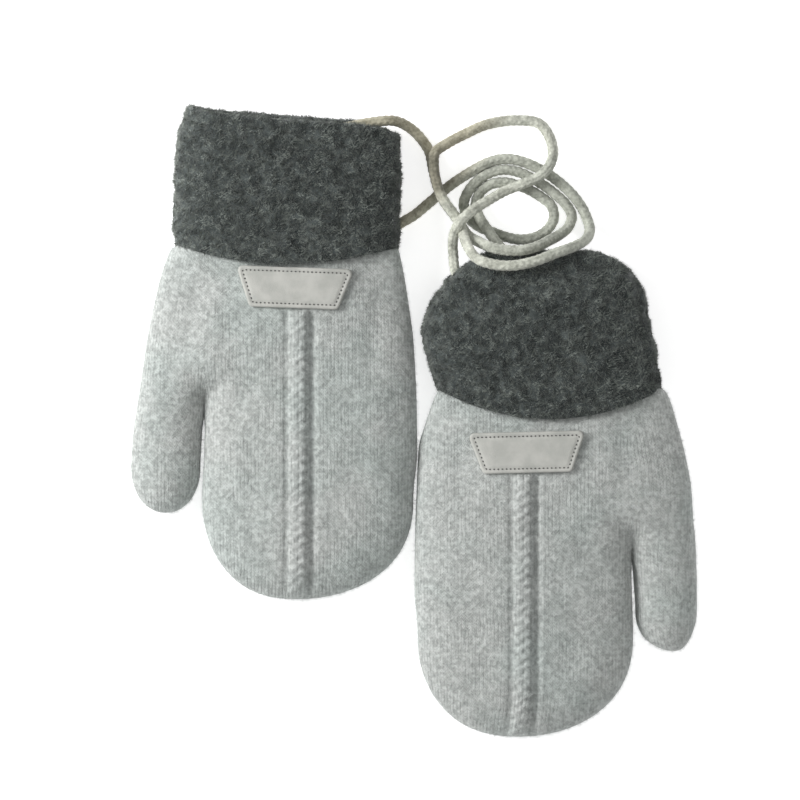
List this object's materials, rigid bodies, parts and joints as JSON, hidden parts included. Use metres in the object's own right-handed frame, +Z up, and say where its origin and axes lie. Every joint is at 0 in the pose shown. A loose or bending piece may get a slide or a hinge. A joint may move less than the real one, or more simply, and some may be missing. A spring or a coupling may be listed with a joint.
{
  "type": "pair of baby mittens",
  "caption": "Baby mittens laid flat: knitted hands with a thumb and a plaited cable, turned-back plush cuffs, a blank sewn patch on each back, and a knitted cord between the cuffs.",
  "frame": {"origin": "on the surface the mittens lie on, under the middle of the pair, measured without the cord", "axes": "+X to the right, +Y from the fingertips towards the cuffs, +Z up through the thickness"},
  "size_m": [0.1608, 0.1792, 0.0203],
  "materials": {
    "knit": "brushed light grey knit",
    "plush": "mottled dark grey plush pile",
    "patch": "matt light grey imitation leather",
    "cord": "light grey-beige knitted cord"
  },
  "bodies": {
    "root": {"left_hand": "knit", "left_thumb": "knit", "left_cuff": "plush", "left_patch": "patch", "right_hand": "knit", "right_thumb": "knit", "right_cuff": "plush", "right_patch": "patch", "cord_inner": "cord", "cord_outer": "cord"}
  },
  "joints": []
}
